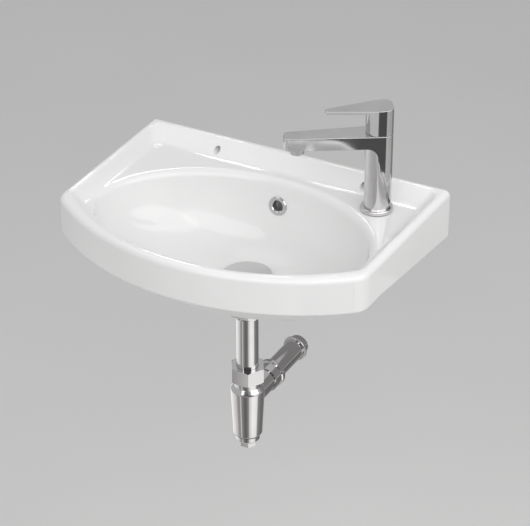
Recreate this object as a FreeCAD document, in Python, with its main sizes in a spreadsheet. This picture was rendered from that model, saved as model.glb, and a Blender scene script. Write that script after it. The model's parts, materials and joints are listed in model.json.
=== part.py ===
"""Wall-hung basin with a quarter-turn pillar tap, a push-to-open waste and a bottle trap.

Millimetres. The wall is the plane y = 0, the basin stands out towards -Y, +X is to the right of someone
facing it and +Z is up. The origin is midway between the two wall fixing holes.
"""
import FreeCAD, Part
import math
import os
import Sketcher

# Driving dimensions, one row of the sheet each.
DIMENSIONS = {
    # basin, heights counted down from the top of the rim
    "basin_width": 450.0,
    "basin_front_width": 443.0,
    "basin_depth": 330.0,
    "basin_side_length": 246.0,
    "basin_front_corner_radius": 28.0,
    "apron_back_height": 70.0,
    "apron_front_height": 53.0,
    "apron_slope_run": 200.0,
    "apron_bend_length": 8.0,
    "apron_wall": 10.0,
    "apron_foot_radius": 4.0,
    "rim_outer_radius": 8.0,
    "rim_inner_radius": 7.0,
    "fixing_drop": 12.0,
    "fixing_spacing": 220.0,
    "fixing_hole_radius": 4.5,
    "deck_drop": 18.0,
    "deck_thickness": 11.0,
    "tray_back_ledge": 7.0,
    "tray_back_slope": 22.0,
    "tray_side_ledge": 12.0,
    "tray_side_slope": 10.0,
    "tray_front_ledge": 14.0,
    "tray_front_slope": 7.0,
    "tray_corner_radius": 20.0,
    "tray_floor_radius": 12.0,
    "bowl_side_margin": 30.0,
    "bowl_front_margin": 39.0,
    "bowl_back_margin": 49.0,
    "bowl_front_reach": 96.0,
    "bowl_drop": 122.0,
    "bowl_lip_radius": 10.0,
    "bowl_wall": 9.0,
    "waste_back": 140.0,
    "waste_seat_radius": 34.0,
    "waste_hole_radius": 23.0,
    "waste_boss_radius": 35.0,
    "waste_boss_drop": 148.0,
    "overflow_hole_radius": 10.0,
    "overflow_passage_radius": 8.0,
    "overflow_passage_start": 20.0,
    "overflow_passage_wall": 4.5,
    "overflow_passage_back": 30.0,
    "overflow_passage_bend": 22.0,
    # clearances and overruns shared by all pieces
    "cut_overrun": 20.0,
    "seat_clearance": 0.05,
    "running_clearance": 0.08,
    "free_clearance": 0.3,
    # overflow ring, along its own axis
    "overflow_ring_radius": 13.2,
    "overflow_ring_thickness": 2.4,
    "overflow_ring_edge": 1.2,
    "overflow_ring_bore_radius": 7.2,
    "overflow_ring_sleeve_length": 9.0,
    # waste, heights counted from its seat in the bowl
    "waste_top_seal_radius": 31.0,
    "waste_top_seal_thickness": 1.5,
    "waste_flange_radius": 32.0,
    "waste_flange_thickness": 3.0,
    "waste_flange_edge": 1.0,
    "waste_tube_radius": 20.5,
    "waste_tube_drop": 44.0,
    "waste_bore_radius": 17.0,
    "waste_window_radius": 5.0,
    "waste_bridge_drop": 20.0,
    "waste_bridge_height": 6.0,
    "waste_bridge_width": 6.0,
    "waste_hub_radius": 9.0,
    "waste_bottom_seal_radius": 31.0,
    "waste_bottom_seal_thickness": 3.5,
    "waste_back_nut_flats": 50.0,
    "waste_back_nut_height": 7.0,
    "nut_chamfer": 2.0,
    # push-to-open plug
    "waste_cap_radius": 33.0,
    "waste_cap_skirt": 2.5,
    "waste_cap_skirt_height": 2.8,
    "waste_cap_dome": 2.6,
    "waste_cap_boss_radius": 6.0,
    "waste_cap_boss_height": 3.3,
    "waste_cap_seal_radius": 29.0,
    "waste_cap_seal_width": 5.0,
    "waste_cap_seal_thickness": 1.5,
    "waste_cap_socket_depth": 1.2,
    "click_stem_radius": 3.0,
    "click_stem_drop": 30.0,
    "click_collar_radius": 4.7,
    "click_collar_height": 2.0,
    "click_collar_drop": 15.0,
    "click_housing_radius": 6.5,
    "click_housing_drop": 36.0,
    "click_housing_top_drop": 4.0,
    "click_housing_wall": 2.0,
    "click_housing_flange": 2.0,
    "click_chamber_radius": 5.0,
    # union and tail tube under the waste
    "tail_tube_radius": 15.0,
    "tail_tube_wall": 1.2,
    "tail_tube_dip": 88.0,
    "tail_flange_radius": 19.8,
    "tail_flange_thickness": 1.5,
    "tail_washer_thickness": 1.2,
    "tail_union_flats": 46.0,
    "tail_union_thread_length": 7.0,
    "tail_union_roof": 3.0,
    "tail_union_collar_radius": 19.5,
    "tail_union_collar_length": 5.0,
    # bottle trap, heights counted down from the top of its inlet nut
    "trap_drop": 257.0,
    "trap_inlet_nut_flats": 43.0,
    "trap_inlet_nut_height": 22.0,
    "trap_inlet_nut_roof": 6.0,
    "trap_neck_radius": 19.0,
    "trap_neck_bore_radius": 17.0,
    "trap_neck_top_drop": 11.0,
    "trap_waist_radius": 18.5,
    "trap_waist_drop": 31.0,
    "trap_shoulder_radius": 23.5,
    "trap_shoulder_drop": 37.0,
    "trap_shoulder_round": 4.0,
    "trap_foot_radius": 20.0,
    "trap_foot_drop": 109.0,
    "trap_foot_round": 1.5,
    "trap_foot_thickness": 4.0,
    "trap_wall": 2.0,
    "trap_mouth_radius": 15.2,
    "trap_inlet_seal_lip": 1.5,
    "trap_cup_radius": 16.5,
    "trap_cup_height": 9.6,
    "trap_cup_round": 2.0,
    "trap_cup_wall": 2.0,
    "trap_cup_thread_length": 10.0,
    "trap_cup_seal_radius": 18.5,
    "trap_cup_seal_thickness": 1.4,
    "trap_plug_flats": 20.0,
    "trap_plug_height": 10.0,
    # outlet, distances counted from the trap's axis towards the wall
    "outlet_drop": 53.0,
    "outlet_stub_radius": 17.5,
    "outlet_stub_reach": 58.0,
    "outlet_stub_bore_radius": 13.0,
    "outlet_socket_depth": 12.0,
    "outlet_nut_radius": 19.2,
    "outlet_nut_lip_radius": 20.8,
    "outlet_nut_start": 48.0,
    "outlet_nut_length": 24.0,
    "outlet_nut_lip_length": 9.0,
    "outlet_nut_roof": 6.0,
    "outlet_nut_round": 2.0,
    "outlet_tube_radius": 15.0,
    "outlet_tube_wall": 1.2,
    "outlet_spigot_radius": 14.6,
    "outlet_wall_entry": 12.0,
    "wall_collar_radius": 18.6,
    "wall_collar_thickness": 4.0,
    "wall_collar_round": 1.6,
    # tap, heights counted up from the deck, spout along its own X
    "tap_side": 147.0,
    "tap_back": 58.0,
    "tap_turn": 214.0,
    "tap_hole_radius": 14.0,
    "tap_base_seal_radius": 21.0,
    "tap_base_seal_bore_radius": 16.0,
    "tap_base_seal_thickness": 1.0,
    "tap_base_ring_radius": 21.8,
    "tap_base_ring_height": 5.0,
    "tap_base_ring_round": 2.4,
    "tap_column_radius": 17.0,
    "tap_flank": 17.6,
    "tap_split_height": 113.0,
    "tap_corner_radius": 11.0,
    "tap_edge_radius": 0.6,
    "fin_foot_height": 9.0,
    "fin_waist_reach": 3.0,
    "fin_waist_height": 82.0,
    "fin_fillet": 14.0,
    "spout_reach": 121.5,
    "spout_thickness": 17.5,
    "spout_tip_half_width": 10.8,
    "spout_tip_radius": 6.0,
    "spout_waterway_radius": 4.5,
    "spout_waterway_drop": 10.0,
    "aerator_reach": 105.0,
    "aerator_bore_radius": 9.0,
    "aerator_bore_depth": 7.0,
    "tap_waterway_radius": 6.0,
    "headwork_bore_radius": 11.6,
    "headwork_seat_height": 74.0,
    "tap_shank_radius": 11.0,
    "tap_shank_drop": 27.0,
    "tap_tail_radius": 10.48,
    "tap_tail_bore_radius": 7.0,
    "tap_tail_drop": 55.0,
    "tap_tail_socket_depth": 13.0,
    "tap_under_washer_radius": 22.0,
    "tap_under_washer_thickness": 3.0,
    "tap_clamp_washer_radius": 20.0,
    "tap_clamp_washer_thickness": 1.5,
    "tap_back_nut_flats": 32.0,
    "tap_back_nut_height": 9.0,
    # quarter-turn headwork
    "headwork_wall": 1.2,
    "headwork_chamber_radius": 9.0,
    "headwork_chamber_height": 19.0,
    "headwork_foot_height": 8.0,
    "headwork_thread_length": 6.5,
    "headwork_flange_radius": 14.0,
    "headwork_flange_height": 6.0,
    "headwork_window_radius": 2.6,
    "headwork_window_height": 13.0,
    "headwork_seal_thickness": 2.0,
    "headwork_seal_bore_radius": 6.5,
    "disc_thickness": 3.5,
    "disc_port_radius": 2.4,
    "disc_port_reach": 4.8,
    "spindle_foot_radius": 8.4,
    "spindle_foot_height": 2.0,
    "spindle_collar_radius": 8.0,
    "spindle_collar_height": 1.8,
    "spindle_radius": 5.0,
    "spindle_groove_depth": 1.2,
    "spindle_groove_width": 2.2,
    "spindle_groove_height": 104.0,
    "spindle_spline_radius": 4.0,
    "spindle_spline_length": 17.0,
    # lever
    "lever_gap": 0.4,
    "lever_height": 150.0,
    "lever_plate_thickness": 4.2,
    "lever_reach": 69.5,
    "lever_tip_half_width": 5.0,
    "lever_tip_fall": 4.0,
    "lever_tip_radius": 4.0,
    "lever_cheek_reach": 14.0,
    "lever_cheek_radius": 8.0,
    "lever_neck_fillet": 3.0,
    "lever_screw_radius": 2.0,
    "lever_screw_length": 11.0,
    "lever_screw_socket_radius": 1.1,
    "lever_screw_socket_depth": 3.0,
    "lever_screw_height": 131.0,
    "lever_plug_radius": 3.2,
    "lever_plug_thickness": 1.6,
    # aerator
    "aerator_radius": 9.6,
    "aerator_edge": 0.8,
    "aerator_height": 8.0,
    "aerator_thread_length": 5.0,
    "aerator_wall": 1.3,
    "aerator_recess": 0.8,
    "aerator_insert_length": 11.0,
    "aerator_jet_radius": 0.75,
    "aerator_ring_radius": 2.6,
    "aerator_ring_step": 2.6,
    "aerator_seal_bore_radius": 6.0,
    "aerator_seal_thickness": 1.2,
}

# Depth and reach of the bowl's level curves: shares of the bowl's depth and of its reach past the waste seat.
BOWL_DEPTH_SHARES = (0.0, 0.35, 0.60, 0.80, 0.92, 0.98, 1.0)
BOWL_REACH_SHARES = (1.0, 0.925, 0.80, 0.60, 0.36, 0.13, 0.0)
OVERFLOW_LEVEL = 1

JET_RINGS = 2

# how far an edge may lie from where it is looked for
PICK_TOLERANCE = 0.01

doc = FreeCAD.newDocument("wall_hung_basin")
sheet = doc.addObject("Spreadsheet::Sheet", "Sizes")


def number(term):
    """The plain value of a size or of a share."""
    return term.value if isinstance(term, Size) else float(term)


def formula(term):
    """The sheet formula of a size or of a share."""
    return term.formula if isinstance(term, Size) else repr(float(term))


class Size:
    """A named dimension, or one worked out from others, with the sheet formula that gives it."""

    def __init__(self, value, text):
        self.value = value
        self.formula = text

    def __add__(self, other):
        return Size(self.value + number(other), f"({self.formula} + {formula(other)})")

    def __radd__(self, other):
        return Size(number(other) + self.value, f"({formula(other)} + {self.formula})")

    def __sub__(self, other):
        return Size(self.value - number(other), f"({self.formula} - {formula(other)})")

    def __rsub__(self, other):
        return Size(number(other) - self.value, f"({formula(other)} - {self.formula})")

    def __mul__(self, other):
        return Size(self.value * number(other), f"({self.formula} * {formula(other)})")

    __rmul__ = __mul__

    def __truediv__(self, other):
        return Size(self.value / number(other), f"({self.formula} / {formula(other)})")

    def __neg__(self):
        return Size(-self.value, f"(-1 * {self.formula})")


def root(term):
    return Size(math.sqrt(term.value), f"sqrt({term.formula})")


def cosine(angle):
    return Size(math.cos(math.radians(angle.value)), f"cos({angle.formula})")


def sine(angle):
    return Size(math.sin(math.radians(angle.value)), f"sin({angle.formula})")


def arc_sine(ratio):
    return Size(math.degrees(math.asin(ratio.value)), f"asin({ratio.formula}) / 1 deg")


def slope_angle(rise, run):
    degrees = math.degrees(math.atan2(rise.value, run.value))
    return Size(degrees, f"atan({rise.formula} / {run.formula}) / 1 deg")


def fill_sheet():
    """Write every driving dimension to the sheet and give it back as a size."""
    for row, (name, value) in enumerate(DIMENSIONS.items(), 1):
        sheet.set(f"A{row}", name.replace("_", " "))
        sheet.set(f"B{row}", str(value))
        sheet.setAlias(f"B{row}", name)
    doc.recompute()
    return {name: Size(value, f"Sizes.{name}") for name, value in DIMENSIONS.items()}


class Named:
    """The sizes as attributes."""

    def __init__(self, sizes):
        self.__dict__.update(sizes)


S = Named(fill_sheet())
ZERO = Size(0.0, "0")
UPRIGHT = Size(90.0, "90")
SQUARE_ROOT_OF_3 = math.sqrt(3)
RIM = S.fixing_drop
X_AXIS = FreeCAD.Vector(1, 0, 0)


def bind(obj, prop, size):
    """Tie one property of an object to its formula in the sheet."""
    obj.setExpression(prop, formula(size))


def place(obj, x=ZERO, y=ZERO, z=ZERO, axis=FreeCAD.Vector(0, 0, 1), angle=ZERO):
    """Set an object down at a point, turned about one axis."""
    obj.Placement = FreeCAD.Placement(FreeCAD.Vector(), FreeCAD.Rotation(axis, number(angle)))
    bind(obj, "Placement.Base.x", x)
    bind(obj, "Placement.Base.y", y)
    bind(obj, "Placement.Base.z", z)
    if isinstance(angle, Size) and angle is not ZERO:
        bind(obj, "Placement.Rotation.Angle", angle)


def origin_plane(body, role):
    return next(plane for plane in body.Origin.OriginFeatures if plane.Role == role)


def new_sketch(body, name, role, offset=ZERO):
    """An empty sketch on one of the body's own planes, moved along the plane's normal."""
    sketch = body.newObject("Sketcher::SketchObject", name)
    sketch.AttachmentSupport = [(origin_plane(body, role), "")]
    sketch.MapMode = "FlatFace"
    bind(sketch, "AttachmentOffset.Base.z", offset)
    return sketch


def tie_point(sketch, geometry, point, x, y):
    """Fix one point of a sketch at x, y, both measured from the sketch's origin."""
    for kind, size, axis in (("DistanceX", x, -2), ("DistanceY", y, -1)):
        if number(size) == 0:
            sketch.addConstraint(Sketcher.Constraint("PointOnObject", geometry, point, axis))
        elif number(size) > 0:
            index = sketch.addConstraint(Sketcher.Constraint(kind, -1, 1, geometry, point, number(size)))
            bind(sketch, f"Constraints[{index}]", size)
        else:
            index = sketch.addConstraint(Sketcher.Constraint(kind, geometry, point, -1, 1, -number(size)))
            bind(sketch, f"Constraints[{index}]", -size)


def flat_point(x, y):
    return FreeCAD.Vector(number(x), number(y), 0)


def arc_through(start, top, end):
    """An arc through three points, drawn counter-clockwise whichever way round they are given."""
    turn = (top - start).cross(end - top).z
    return Part.Arc(start, top, end) if turn > 0 else Part.Arc(end, top, start)


def draw_outline(sketch, corners, bows=None):
    """Draw a closed outline through its corners. bows gives the radius of each side that is an arc, by
    the number of the corner that it starts from; a positive radius bows out to the right of the way round."""
    bows = bows or {}
    first = sketch.GeometryCount
    count = len(corners)
    for index, corner in enumerate(corners):
        start = flat_point(*corner)
        end = flat_point(*corners[(index + 1) % count])
        if index not in bows:
            sketch.addGeometry(Part.LineSegment(start, end))
            continue
        radius = number(bows[index])
        chord = end - start
        right = FreeCAD.Vector(chord.y, -chord.x, 0).normalize()
        middle = (start + end) * 0.5
        height = abs(radius) - math.sqrt(radius * radius - chord.Length ** 2 / 4)
        top = middle + right * math.copysign(height, radius)
        sketch.addGeometry(arc_through(start, top, end))
    for index, corner in enumerate(corners):
        following = first + (index + 1) % count
        ends_at = arc_end(sketch, first + index, corners[(index + 1) % count])
        starts_at = 3 - arc_end(sketch, following, corners[(index + 2) % count])
        sketch.addConstraint(Sketcher.Constraint("Coincident", first + index, ends_at, following, starts_at))
    for index, corner in enumerate(corners):
        starts_at = 3 - arc_end(sketch, first + index, corners[(index + 1) % count])
        tie_point(sketch, first + index, starts_at, *corner)
        if index in bows:
            size = bows[index] if number(bows[index]) > 0 else -bows[index]
            radius = sketch.addConstraint(Sketcher.Constraint("Radius", first + index, number(size)))
            bind(sketch, f"Constraints[{radius}]", size)


def arc_end(sketch, geometry, corner):
    """Which end of a line or arc, 1 or 2, lies at a corner: an arc runs counter-clockwise from 1 to 2."""
    shape = sketch.Geometry[geometry]
    target = flat_point(*corner)
    return 2 if (shape.EndPoint - target).Length < (shape.StartPoint - target).Length else 1


def draw_chain(sketch, points, bends):
    """Draw an open path through its points, with arcs of the given radius from the numbered points on."""
    for index in range(len(points) - 1):
        start = flat_point(*points[index])
        end = flat_point(*points[index + 1])
        if index not in bends:
            sketch.addGeometry(Part.LineSegment(start, end))
            continue
        before = start - flat_point(*points[index - 1])
        corner = start + before.normalize() * number(bends[index])
        middle = (start + end) * 0.5
        centre = middle * 2 - corner
        top = centre + (corner - centre).normalize() * number(bends[index])
        sketch.addGeometry(arc_through(start, top, end))
    for index in range(len(points) - 2):
        ends_at = arc_end(sketch, index, points[index + 1])
        starts_at = 3 - arc_end(sketch, index + 1, points[index + 2])
        sketch.addConstraint(Sketcher.Constraint("Coincident", index, ends_at, index + 1, starts_at))
    for index, point in enumerate(points[:-1]):
        tie_point(sketch, index, 3 - arc_end(sketch, index, points[index + 1]), *point)
    last = len(points) - 2
    tie_point(sketch, last, arc_end(sketch, last, points[-1]), *points[-1])
    for index, radius in bends.items():
        constraint = sketch.addConstraint(Sketcher.Constraint("Radius", index, number(radius)))
        bind(sketch, f"Constraints[{constraint}]", radius)


def draw_circle(sketch, x, y, radius):
    index = sketch.addGeometry(Part.Circle(flat_point(x, y), FreeCAD.Vector(0, 0, 1), number(radius)))
    tie_point(sketch, index, 3, x, y)
    constraint = sketch.addConstraint(Sketcher.Constraint("Radius", index, number(radius)))
    bind(sketch, f"Constraints[{constraint}]", radius)


def draw_oval(sketch, y, half_width, half_back, half_front):
    """Two half ellipses that meet on the oval's widest line, at y: one towards the wall, one to the front."""
    centre = flat_point(ZERO, y)
    for half_length, start in ((half_back, 0), (half_front, math.pi)):
        ends = centre + FreeCAD.Vector(number(half_width), 0, 0)
        side = centre + FreeCAD.Vector(0, number(half_length), 0)
        curve = Part.Ellipse(ends, side, centre)
        index = sketch.addGeometry(Part.ArcOfEllipse(curve, start, start + math.pi))
        sketch.exposeInternalGeometry(index)
        long_axis, short_axis = index + 1, index + 2
        tie_point(sketch, index, 3, ZERO, y)
        sketch.addConstraint(Sketcher.Constraint("Horizontal", long_axis))
        for axis, half in ((long_axis, half_width), (short_axis, half_length)):
            length = sketch.addConstraint(Sketcher.Constraint("Distance", axis, 2 * number(half)))
            bind(sketch, f"Constraints[{length}]", 2 * half)
        for end in (1, 2):
            sketch.addConstraint(Sketcher.Constraint("Horizontal", index, end, index, 3))


def draw_halves(sketch, y, radius):
    """A circle of two halves that meet on its widest line, at y."""
    centre = flat_point(ZERO, y)
    for start in (0, math.pi):
        circle = Part.Circle(centre, FreeCAD.Vector(0, 0, 1), number(radius))
        index = sketch.addGeometry(Part.ArcOfCircle(circle, start, start + math.pi))
        tie_point(sketch, index, 3, ZERO, y)
        length = sketch.addConstraint(Sketcher.Constraint("Radius", index, number(radius)))
        bind(sketch, f"Constraints[{length}]", radius)
        for end in (1, 2):
            sketch.addConstraint(Sketcher.Constraint("Horizontal", index, end, index, 3))


def feature(body, kind, name, profile=None):
    """A feature of a body, made of one sketch where it has one."""
    made = body.newObject(f"PartDesign::{kind}", name)
    if profile is not None:
        made.Profile = profile
    return made


def new_body(label):
    body = doc.addObject("PartDesign::Body", label)
    body.Label = label
    return body


def pick_edges(shape, wanted):
    """The names of the edges that a test picks out."""
    return [f"Edge{index}" for index, edge in enumerate(shape.Edges, 1) if wanted(edge)]


def round_edges(body, name, radius, wanted):
    """Round the edges of a body's last feature that a test picks out."""
    doc.recompute()
    base = body.Tip
    edges = pick_edges(base.Shape, wanted)
    if not edges:
        raise RuntimeError(f"{body.Label}: {name} found no edge")
    fillet = body.newObject("PartDesign::Fillet", name)
    fillet.Base = (base, edges)
    bind(fillet, "Radius", radius)
    doc.recompute()


def basin_outline(inset_back, inset_side, inset_front):
    """Corners of the basin's plan, moved in from its back, sides and front, and the radius of its front."""
    half_back = S.basin_width / 2 - inset_side
    half_front = S.basin_front_width / 2 - inset_side
    corner = -(S.basin_side_length - inset_front)
    rise = S.basin_depth - S.basin_side_length
    radius = (half_front * half_front + rise * rise) / (2 * rise)
    back = -inset_back
    return [(-half_back, back), (-half_front, corner), (half_front, corner), (half_back, back)], {1: radius}


def bowl_mouth():
    """How far the bowl's widest line lies from the wall, the mouth's half width there, and its reach from the
    line to the back and to the front."""
    back = S.basin_depth - S.bowl_front_margin - S.bowl_front_reach
    side = S.basin_width / 2 + (S.basin_front_width - S.basin_width) / 2 * back / S.basin_side_length
    return back, side - S.bowl_side_margin, back - S.bowl_back_margin, S.bowl_front_reach


def bowl_curve(share_of_depth, share_of_reach, growth, drop):
    """Widest line, half width, reach to the back and to the front, and height of one level curve of the bowl,
    grown by a wall."""
    back, *mouth = bowl_mouth()
    centre = -(S.waste_back + (back - S.waste_back) * share_of_reach)
    seat = S.waste_seat_radius
    half_width, half_back, half_front = [seat + (reach - seat) * share_of_reach + growth for reach in mouth]
    height = -(S.deck_drop + (drop - S.deck_drop) * share_of_depth)
    return centre, half_width, half_back, half_front, height


def bowl_loft(body, name, kind, growth, drop):
    """A loft through the level curves of the bowl, from the tray's floor down."""
    sketches = []
    for index, shares in enumerate(zip(BOWL_DEPTH_SHARES, BOWL_REACH_SHARES)):
        centre, half_width, half_back, half_front, height = bowl_curve(*shares, growth, drop)
        sketch = new_sketch(body, f"{name}_level_{index}", "XY_Plane", height)
        if index == len(BOWL_DEPTH_SHARES) - 1:
            draw_halves(sketch, centre, half_width)
        else:
            draw_oval(sketch, centre, half_width, half_back, half_front)
        sketches.append(sketch)
    loft = feature(body, kind, name, sketches[0])
    loft.Sections = sketches[1:]
    loft.Ruled = False
    return loft


def near(value, size):
    return abs(value - number(size)) < PICK_TOLERANCE


def level_at(edge, height):
    """Whether an edge lies flat at a height."""
    return near(edge.BoundBox.ZMax, height) and near(edge.BoundBox.ZMin, height)


def drops_below(body, edge, height):
    """Whether one of the faces that meet at an edge goes down past a height."""
    faces = body.Tip.Shape.ancestorsOfType(edge, Part.Face)
    return any(face.BoundBox.ZMin < number(height) - PICK_TOLERANCE for face in faces)


def leaves_wall(edge):
    """Whether an edge goes further from the wall than the apron is thick."""
    return edge.BoundBox.YMin < -number(S.apron_wall)


def cut_round(body, name, role, offset, x, y, radius, length, reverse=False):
    """A round hole cut square to one of the body's planes."""
    sketch = new_sketch(body, f"{name}_circle", role, offset)
    draw_circle(sketch, x, y, radius)
    hole = feature(body, "Pocket", name, sketch)
    bind(hole, "Length", length)
    hole.Reversed = reverse
    return hole


def passage_path(body, name):
    """The overflow passage's centre line: back through the bowl's wall, down and on to the waste."""
    centre, _, half_back, _, height = bowl_curve(
        BOWL_DEPTH_SHARES[OVERFLOW_LEVEL], BOWL_REACH_SHARES[OVERFLOW_LEVEL], ZERO, S.bowl_drop)
    mouth = centre + half_back
    run = -(S.bowl_drop + S.waste_boss_drop) / 2
    bend = S.overflow_passage_bend
    back = -S.overflow_passage_back
    sketch = new_sketch(body, name, "YZ_Plane")
    points = [
        (mouth - S.overflow_passage_start, height),
        (back - bend, height),
        (back, height - bend),
        (back, run + bend),
        (back - bend, run),
        (-(S.waste_back - S.waste_hole_radius + S.overflow_passage_wall), run),
    ]
    draw_chain(sketch, points, {1: bend, 3: bend})
    return sketch, points[0]


def build_basin():
    """The ceramic basin: apron, rim, tray with its deck, bowl, boss under the waste and overflow passage."""
    body = new_body("basin")
    half_front = S.basin_front_width / 2

    outline = new_sketch(body, "outline", "XY_Plane")
    draw_outline(outline, *basin_outline(ZERO, ZERO, ZERO))
    block = feature(body, "Pad", "block", outline)
    bind(block, "Length", S.apron_back_height)
    block.Reversed = True

    foot = new_sketch(body, "foot_line", "YZ_Plane")
    below = -(S.apron_back_height + S.cut_overrun)
    front = -(S.basin_depth + S.cut_overrun)
    fall = S.apron_back_height - S.apron_front_height
    length = root(S.apron_slope_run * S.apron_slope_run + fall * fall)
    bend = S.apron_bend_length
    along = bend * S.apron_slope_run / length
    draw_outline(foot, [
        (ZERO, -S.apron_back_height),
        (ZERO, below),
        (front, below),
        (front, -S.apron_front_height),
        (-(S.apron_slope_run + bend), -S.apron_front_height),
        (-(S.apron_slope_run - along), -(S.apron_front_height + bend * fall / length)),
    ], {4: -(bend * fall / (length - S.apron_slope_run))})
    slope = feature(body, "Pocket", "foot_slope", foot)
    bind(slope, "Length", S.basin_width + S.cut_overrun)
    slope.Midplane = True

    round_edges(body, "front_corners", S.basin_front_corner_radius, lambda edge: (
        edge.BoundBox.ZLength > edge.BoundBox.XLength + edge.BoundBox.YLength
        and near(abs(edge.CenterOfMass.x), half_front)))
    round_edges(body, "rim_outer_edge", S.rim_outer_radius, lambda edge: (
        level_at(edge, ZERO) and leaves_wall(edge)))
    round_edges(body, "apron_foot", S.apron_foot_radius, lambda edge: (
        edge.BoundBox.ZMax < -number(S.apron_front_height) + PICK_TOLERANCE and leaves_wall(edge)))

    under = new_sketch(body, "underside_outline", "XY_Plane", -(S.deck_drop + S.deck_thickness))
    draw_outline(under, *basin_outline(S.apron_wall, S.apron_wall, S.apron_wall))
    hollow = feature(body, "Pocket", "underside", under)
    bind(hollow, "Length", S.apron_back_height)

    bowl_loft(body, "bowl_shell", "AdditiveLoft", S.bowl_wall, S.bowl_drop + S.bowl_wall)

    boss_circle = new_sketch(body, "waste_boss_circle", "XY_Plane", -S.bowl_drop)
    draw_circle(boss_circle, ZERO, -S.waste_back, S.waste_boss_radius)
    boss = feature(body, "Pad", "waste_boss", boss_circle)
    bind(boss, "Length", S.waste_boss_drop - S.bowl_drop)
    boss.Reversed = True

    path, start = passage_path(body, "passage_path")
    section = new_sketch(body, "passage_outside", "XZ_Plane", -start[0])
    draw_circle(section, ZERO, start[1], S.overflow_passage_radius + S.overflow_passage_wall)
    duct = feature(body, "AdditivePipe", "passage_wall", section)
    duct.Spine = (path, [])
    doc.recompute()

    tray_top = new_sketch(body, "tray_top", "XY_Plane")
    draw_outline(tray_top, *basin_outline(S.tray_back_ledge, S.tray_side_ledge, S.tray_front_ledge))
    tray_floor = new_sketch(body, "tray_floor", "XY_Plane", -S.deck_drop)
    draw_outline(tray_floor, *basin_outline(
        S.tray_back_ledge + S.tray_back_slope, S.tray_side_ledge + S.tray_side_slope,
        S.tray_front_ledge + S.tray_front_slope))
    tray = feature(body, "SubtractiveLoft", "tray", tray_top)
    tray.Sections = [tray_floor]
    tray.Ruled = True
    deck = -S.deck_drop
    round_edges(body, "tray_corners", S.tray_corner_radius, lambda edge: (
        near(edge.BoundBox.ZMax, ZERO) and near(edge.BoundBox.ZMin, deck)))
    round_edges(body, "rim_inner_edge", S.rim_inner_radius, lambda edge: (
        level_at(edge, ZERO) and not near(edge.BoundBox.YMax, ZERO)
        and drops_below(body, edge, -S.rim_outer_radius)))
    round_edges(body, "tray_floor_edge", S.tray_floor_radius, lambda edge: level_at(edge, deck))
    bowl_loft(body, "bowl", "SubtractiveLoft", ZERO, S.bowl_drop)
    round_edges(body, "bowl_lip", S.bowl_lip_radius, lambda edge: (
        level_at(edge, deck) and drops_below(body, edge, deck - S.deck_thickness)))

    cut_round(body, "waste_hole", "XY_Plane", -S.bowl_drop, ZERO, -S.waste_back, S.waste_hole_radius,
              S.waste_boss_drop)
    cut_round(body, "tap_hole", "XY_Plane", -S.deck_drop, S.tap_side, -S.tap_back, S.tap_hole_radius,
              S.deck_thickness + S.bowl_wall)
    washers = S.tap_under_washer_thickness + S.tap_clamp_washer_thickness + S.tap_back_nut_height
    cut_round(body, "tap_washer_room", "XY_Plane", -(S.deck_drop + S.deck_thickness), S.tap_side, -S.tap_back,
              S.tap_under_washer_radius + S.free_clearance, washers + S.free_clearance)
    for name, side in (("left_fixing_hole", -1), ("right_fixing_hole", 1)):
        cut_round(body, name, "XZ_Plane", ZERO, S.fixing_spacing / 2 * side, -S.fixing_drop,
                  S.fixing_hole_radius, S.tray_back_ledge + S.tray_back_slope, reverse=True)

    inner = new_sketch(body, "passage_inside", "XZ_Plane", -start[0])
    draw_circle(inner, ZERO, start[1], S.overflow_passage_radius)
    passage = feature(body, "SubtractivePipe", "passage", inner)
    passage.Spine = (path, [])
    mouth_y, mouth_z, tilt = overflow_mouth()
    sleeve = S.overflow_ring_sleeve_length + S.free_clearance
    for name, radius, depth in (("overflow_seat", S.overflow_hole_radius, sleeve),
                                ("overflow_spot_face", S.overflow_ring_radius + S.free_clearance, ZERO)):
        cut = feature(body, "SubtractiveCylinder", name)
        bind(cut, "Radius", radius)
        bind(cut, "Height", depth + sleeve)
        place(cut, ZERO, mouth_y + depth * cosine(tilt), mouth_z - depth * sine(tilt), X_AXIS, UPRIGHT - tilt)
    place(body, z=RIM)
    return body


def overflow_mouth():
    """Where the overflow opens on the bowl's back wall, and how far that wall leans back."""
    points = []
    for level in (OVERFLOW_LEVEL - 1, OVERFLOW_LEVEL, OVERFLOW_LEVEL + 1):
        centre, _, half_back, _, height = bowl_curve(
            BOWL_DEPTH_SHARES[level], BOWL_REACH_SHARES[level], ZERO, S.bowl_drop)
        points.append((centre + half_back, height))
    (upper_y, upper_z), (mouth_y, mouth_z), (lower_y, lower_z) = points
    return mouth_y, mouth_z, slope_angle(upper_y - lower_y, upper_z - lower_z)


def turned(label, profile, bows=None, rounds=(), x=ZERO, y=ZERO, z=ZERO, axis=FreeCAD.Vector(0, 0, 1),
           angle=ZERO):
    """A piece turned about its own Z axis from a profile of (radius, height) corners. rounds lists pairs of a
    radius and the corners that it rounds."""
    body = new_body(label)
    sketch = new_sketch(body, f"{label}_profile", "XZ_Plane")
    draw_outline(sketch, profile, bows)
    turning = feature(body, "Revolution", f"{label}_turning", sketch)
    turning.ReferenceAxis = (sketch, ["V_Axis"])
    for index, (radius, corners) in enumerate(rounds):
        round_edges(body, f"{label}_round_{index}", radius, lambda edge: any(
            hasattr(edge.Curve, "Radius") and near(edge.Curve.Radius, corner[0])
            and near(edge.CenterOfMass.z, corner[1]) for corner in corners))
    place(body, x, y, z, axis, angle)
    return body


def ring(inner, outer, low, high):
    """The profile of a plain ring."""
    return [(inner, low), (outer, low), (outer, high), (inner, high)]


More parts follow.
